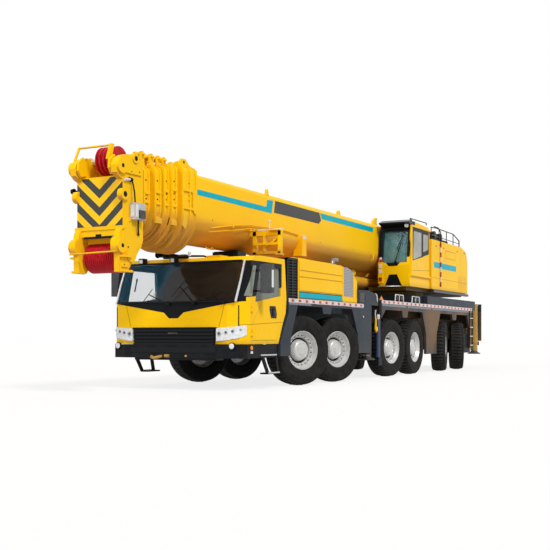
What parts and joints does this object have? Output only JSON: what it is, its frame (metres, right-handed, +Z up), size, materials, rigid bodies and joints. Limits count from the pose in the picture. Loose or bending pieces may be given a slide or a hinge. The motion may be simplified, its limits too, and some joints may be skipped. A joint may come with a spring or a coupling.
{
  "type": "mobile crane",
  "caption": "All-terrain mobile crane: multi-axle steered carrier with outriggers, driving cab, slewing superstructure with operator cab, and telescopic boom.",
  "frame": {"origin": "on the ground, under the middle of the overall box", "axes": "+X towards the driving cab and boom head, +Y to the vehicle's left, +Z up"},
  "size_m": [18.14, 3.64, 4.21],
  "materials": {
    "yellow_paint": "gloss",
    "carrier_grey": "satin",
    "black_paint": "satin",
    "engine_iron": "matte",
    "bright_steel": "brushed",
    "tyre": "matte",
    "sheave_red": "gloss"
  },
  "bodies": {
    "carrier": {"chassis_frame": "carrier_grey", "frame_nose": "black_paint", "deck": "carrier_grey", "intake_tower": "black_paint", "engine": "engine_iron", "engine_hood": "yellow_paint", "carrier_cab": "yellow_paint", "front_bumper": "black_paint", "front_axle_pair": "black_paint", "middle_axle_pair": "black_paint", "rear_axle_pair": "black_paint"},
    "knuckle_left_1": {"knuckle_left_1": "black_paint"},
    "wheel_left_1": {"wheel_left_1": "tyre"},
    "knuckle_right_1": {"knuckle_right_1": "black_paint"},
    "wheel_right_1": {"wheel_right_1": "tyre"},
    "knuckle_left_2": {"knuckle_left_2": "black_paint"},
    "wheel_left_2": {"wheel_left_2": "tyre"},
    "knuckle_right_2": {"knuckle_right_2": "black_paint"},
    "wheel_right_2": {"wheel_right_2": "tyre"},
    "knuckle_left_3": {"knuckle_left_3": "black_paint"},
    "wheel_left_3": {"wheel_left_3": "tyre"},
    "knuckle_right_3": {"knuckle_right_3": "black_paint"},
    "wheel_right_3": {"wheel_right_3": "tyre"},
    "knuckle_left_4": {"knuckle_left_4": "black_paint"},
    "wheel_left_4": {"wheel_left_4": "tyre"},
    "knuckle_right_4": {"knuckle_right_4": "black_paint"},
    "wheel_right_4": {"wheel_right_4": "tyre"},
    "knuckle_left_5": {"knuckle_left_5": "black_paint"},
    "wheel_left_5": {"wheel_left_5": "tyre"},
    "knuckle_right_5": {"knuckle_right_5": "black_paint"},
    "wheel_right_5": {"wheel_right_5": "tyre"},
    "knuckle_left_6": {"knuckle_left_6": "black_paint"},
    "wheel_left_6": {"wheel_left_6": "tyre"},
    "knuckle_right_6": {"knuckle_right_6": "black_paint"},
    "wheel_right_6": {"wheel_right_6": "tyre"},
    "outrigger_beam_front_left": {"outrigger_beam_front_left": "carrier_grey"},
    "outrigger_jack_front_left": {"outrigger_jack_front_left": "bright_steel"},
    "outrigger_beam_front_right": {"outrigger_beam_front_right": "carrier_grey"},
    "outrigger_jack_front_right": {"outrigger_jack_front_right": "bright_steel"},
    "outrigger_beam_rear_left": {"outrigger_beam_rear_left": "carrier_grey"},
    "outrigger_jack_rear_left": {"outrigger_jack_rear_left": "bright_steel"},
    "outrigger_beam_rear_right": {"outrigger_beam_rear_right": "carrier_grey"},
    "outrigger_jack_rear_right": {"outrigger_jack_rear_right": "bright_steel"},
    "superstructure": {"slewing_platform": "yellow_paint", "machinery_house": "yellow_paint", "operator_cab": "yellow_paint"},
    "operator_door": {"operator_door": "yellow_paint"},
    "hoist_drum": {"hoist_drum": "bright_steel"},
    "luffing_cylinder": {"luffing_cylinder": "yellow_paint"},
    "luffing_rod": {"luffing_rod": "bright_steel"},
    "boom_base": {"boom_base": "yellow_paint"},
    "boom_section_2": {"boom_section_2": "yellow_paint"},
    "boom_section_3": {"boom_section_3": "yellow_paint"},
    "boom_section_4": {"boom_section_4": "yellow_paint"},
    "boom_section_5": {"boom_section_5": "yellow_paint"},
    "boom_section_6": {"boom_section_6": "yellow_paint"},
    "lower_sheaves": {"lower_sheaves": "sheave_red"},
    "upper_sheaves": {"upper_sheaves": "sheave_red"},
    "carrier_door_left": {"carrier_door_left": "yellow_paint"},
    "carrier_door_right": {"carrier_door_right": "yellow_paint"}
  },
  "joints": [
    {"name": "steer_left_1", "type": "hinge", "parent": "carrier", "child": "knuckle_left_1", "pos_m": [3.92, 1, 0.72], "axis": [0, 0, 1], "range_deg": [-14.5, 61.5]},
    {"name": "roll_left_1", "type": "hinge", "parent": "knuckle_left_1", "child": "wheel_left_1", "pos_m": [4.03564, 1.26595, 0.72], "axis": [0.3987, 0.9171, 0], "continuous": true},
    {"name": "steer_right_1", "type": "hinge", "parent": "carrier", "child": "knuckle_right_1", "pos_m": [3.92, -1, 0.72], "axis": [0, 0, 1], "range_deg": [-14.5, 61.5]},
    {"name": "roll_right_1", "type": "hinge", "parent": "knuckle_right_1", "child": "wheel_right_1", "pos_m": [3.80436, -1.26595, 0.72], "axis": [0.3987, 0.9171, 0], "continuous": true},
    {"name": "steer_left_2", "type": "hinge", "parent": "carrier", "child": "knuckle_left_2", "pos_m": [2.24, 1, 0.72], "axis": [0, 0, 1], "range_deg": [-11.89, 50.43]},
    {"name": "roll_left_2", "type": "hinge", "parent": "knuckle_left_2", "child": "wheel_left_2", "pos_m": [2.33537, 1.27387, 0.72], "axis": [0.3289, 0.9444, 0], "continuous": true},
    {"name": "steer_right_2", "type": "hinge", "parent": "carrier", "child": "knuckle_right_2", "pos_m": [2.24, -1, 0.72], "axis": [0, 0, 1], "range_deg": [-11.89, 50.43]},
    {"name": "roll_right_2", "type": "hinge", "parent": "knuckle_right_2", "child": "wheel_right_2", "pos_m": [2.14463, -1.27387, 0.72], "axis": [0.3289, 0.9444, 0], "continuous": true},
    {"name": "steer_left_3", "type": "hinge", "parent": "carrier", "child": "knuckle_left_3", "pos_m": [-0.93, 1, 0.72], "axis": [0, 0, 1], "range_deg": [-4.64, 19.68]},
    {"name": "roll_left_3", "type": "hinge", "parent": "knuckle_left_3", "child": "wheel_left_3", "pos_m": [-0.89165, 1.28745, 0.72], "axis": [0.1323, 0.9912, 0], "continuous": true},
    {"name": "steer_right_3", "type": "hinge", "parent": "carrier", "child": "knuckle_right_3", "pos_m": [-0.93, -1, 0.72], "axis": [0, 0, 1], "range_deg": [-4.64, 19.68]},
    {"name": "roll_right_3", "type": "hinge", "parent": "knuckle_right_3", "child": "wheel_right_3", "pos_m": [-0.96835, -1.28745, 0.72], "axis": [0.1323, 0.9912, 0], "continuous": true},
    {"name": "steer_left_4", "type": "hinge", "parent": "carrier", "child": "knuckle_left_4", "pos_m": [-2.58, 1, 0.72], "axis": [0, 0, 1], "range_deg": [-20.8, 19.2]},
    {"name": "roll_left_4", "type": "hinge", "parent": "knuckle_left_4", "child": "wheel_left_4", "pos_m": [-2.58405, 1.28997, 0.72], "axis": [-0.014, 0.9999, 0], "continuous": true},
    {"name": "steer_right_4", "type": "hinge", "parent": "carrier", "child": "knuckle_right_4", "pos_m": [-2.58, -1, 0.72], "axis": [0, 0, 1], "range_deg": [-20.8, 19.2]},
    {"name": "roll_right_4", "type": "hinge", "parent": "knuckle_right_4", "child": "wheel_right_4", "pos_m": [-2.57595, -1.28997, 0.72], "axis": [-0.014, 0.9999, 0], "continuous": true},
    {"name": "steer_left_5", "type": "hinge", "parent": "carrier", "child": "knuckle_left_5", "pos_m": [-5.18, 1, 0.72], "axis": [0, 0, 1], "range_deg": [-42.55, 13.69]},
    {"name": "roll_left_5", "type": "hinge", "parent": "knuckle_left_5", "child": "wheel_left_5", "pos_m": [-5.25261, 1.28076, 0.72], "axis": [-0.2504, 0.9681, 0], "continuous": true},
    {"name": "steer_right_5", "type": "hinge", "parent": "carrier", "child": "knuckle_right_5", "pos_m": [-5.18, -1, 0.72], "axis": [0, 0, 1], "range_deg": [-42.55, 13.69]},
    {"name": "roll_right_5", "type": "hinge", "parent": "knuckle_right_5", "child": "wheel_right_5", "pos_m": [-5.10739, -1.28076, 0.72], "axis": [-0.2504, 0.9681, 0], "continuous": true},
    {"name": "steer_left_6", "type": "hinge", "parent": "carrier", "child": "knuckle_left_6", "pos_m": [-6.83, 1, 0.72], "axis": [0, 0, 1], "range_deg": [-57.5, 18.5]},
    {"name": "roll_left_6", "type": "hinge", "parent": "knuckle_left_6", "child": "wheel_left_6", "pos_m": [-6.9268, 1.27337, 0.72], "axis": [-0.3338, 0.9426, 0], "continuous": true},
    {"name": "steer_right_6", "type": "hinge", "parent": "carrier", "child": "knuckle_right_6", "pos_m": [-6.83, -1, 0.72], "axis": [0, 0, 1], "range_deg": [-57.5, 18.5]},
    {"name": "roll_right_6", "type": "hinge", "parent": "knuckle_right_6", "child": "wheel_right_6", "pos_m": [-6.7332, -1.27337, 0.72], "axis": [-0.3338, 0.9426, 0], "continuous": true},
    {"name": "beam_front_left", "type": "slide", "parent": "carrier", "child": "outrigger_beam_front_left", "axis": [0, 1, 0], "range_m": [0, 2]},
    {"name": "jack_front_left", "type": "slide", "parent": "outrigger_beam_front_left", "child": "outrigger_jack_front_left", "axis": [0, 0, -1], "range_m": [0, 0.65]},
    {"name": "beam_front_right", "type": "slide", "parent": "carrier", "child": "outrigger_beam_front_right", "axis": [0, -1, 0], "range_m": [0, 2]},
    {"name": "jack_front_right", "type": "slide", "parent": "outrigger_beam_front_right", "child": "outrigger_jack_front_right", "axis": [0, 0, -1], "range_m": [0, 0.65]},
    {"name": "beam_rear_left", "type": "slide", "parent": "carrier", "child": "outrigger_beam_rear_left", "axis": [0, 1, 0], "range_m": [0, 2]},
    {"name": "jack_rear_left", "type": "slide", "parent": "outrigger_beam_rear_left", "child": "outrigger_jack_rear_left", "axis": [0, 0, -1], "range_m": [0, 0.65]},
    {"name": "beam_rear_right", "type": "slide", "parent": "carrier", "child": "outrigger_beam_rear_right", "axis": [0, -1, 0], "range_m": [0, 2]},
    {"name": "jack_rear_right", "type": "slide", "parent": "outrigger_beam_rear_right", "child": "outrigger_jack_rear_right", "axis": [0, 0, -1], "range_m": [0, 0.65]},
    {"name": "slew", "type": "hinge", "parent": "carrier", "child": "superstructure", "pos_m": [-3.88, 0, 2.13], "axis": [0, 0, 1], "continuous": true},
    {"name": "operator_door_slide", "type": "slide", "parent": "superstructure", "child": "operator_door", "axis": [-1, 0, 0], "range_m": [0, 0.62]},
    {"name": "hoist", "type": "hinge", "parent": "superstructure", "child": "hoist_drum", "pos_m": [-6.98, 0, 2.82], "axis": [0, 1, 0], "continuous": true},
    {"name": "luff", "type": "hinge", "parent": "superstructure", "child": "boom_base", "pos_m": [-6.13, 0, 3.38], "axis": [0, -1, 0], "range_deg": [0, 82]},
    {"name": "cylinder_swing", "type": "hinge", "parent": "superstructure", "child": "luffing_cylinder", "pos_m": [-4.33, 0, 2.455], "axis": [0, -1, 0], "range_deg": [0, 91]},
    {"name": "cylinder_stroke", "type": "slide", "parent": "luffing_cylinder", "child": "luffing_rod", "axis": [1, 0, 0.0065], "range_m": [0, 2.16]},
    {"name": "telescope_2", "type": "slide", "parent": "boom_base", "child": "boom_section_2", "axis": [1, 0, 0], "range_m": [0, 11]},
    {"name": "telescope_3", "type": "slide", "parent": "boom_section_2", "child": "boom_section_3", "axis": [1, 0, 0], "range_m": [0, 11]},
    {"name": "telescope_4", "type": "slide", "parent": "boom_section_3", "child": "boom_section_4", "axis": [1, 0, 0], "range_m": [0, 11]},
    {"name": "telescope_5", "type": "slide", "parent": "boom_section_4", "child": "boom_section_5", "axis": [1, 0, 0], "range_m": [0, 11]},
    {"name": "telescope_6", "type": "slide", "parent": "boom_section_5", "child": "boom_section_6", "axis": [1, 0, 0], "range_m": [0, 11]},
    {"name": "lower_sheaves_turn", "type": "hinge", "parent": "boom_section_6", "child": "lower_sheaves", "pos_m": [8.65, 0, 2.325], "axis": [0, 1, 0], "continuous": true},
    {"name": "upper_sheaves_turn", "type": "hinge", "parent": "boom_section_6", "child": "upper_sheaves", "pos_m": [8.56, 0, 3.97], "axis": [0, 1, 0], "continuous": true},
    {"name": "carrier_door_left_hinge", "type": "hinge", "parent": "carrier", "child": "carrier_door_left", "pos_m": [6.31, 1.488, 1.3], "axis": [0, 0, 1], "range_deg": [-70, 0]},
    {"name": "carrier_door_right_hinge", "type": "hinge", "parent": "carrier", "child": "carrier_door_right", "pos_m": [6.31, -1.488, 1.3], "axis": [0, 0, 1], "range_deg": [0, 70]}
  ],
  "couplings": [
    {"joint": "steer_right_1", "follows": "steer_left_1", "ratio": 1},
    {"joint": "steer_left_2", "follows": "steer_left_1", "ratio": 0.82},
    {"joint": "steer_right_2", "follows": "steer_left_1", "ratio": 0.82},
    {"joint": "steer_left_3", "follows": "steer_left_1", "ratio": 0.32},
    {"joint": "steer_right_3", "follows": "steer_left_1", "ratio": 0.32},
    {"joint": "steer_right_4", "follows": "steer_left_4", "ratio": 1},
    {"joint": "steer_left_5", "follows": "steer_left_6", "ratio": 0.74},
    {"joint": "steer_right_5", "follows": "steer_left_6", "ratio": 0.74},
    {"joint": "steer_right_6", "follows": "steer_left_6", "ratio": 1},
    {"joint": "cylinder_swing", "follows": "luff", "ratio": 1.1},
    {"joint": "cylinder_stroke", "follows": "luff", "m_per_rad": 1.5}
  ]
}
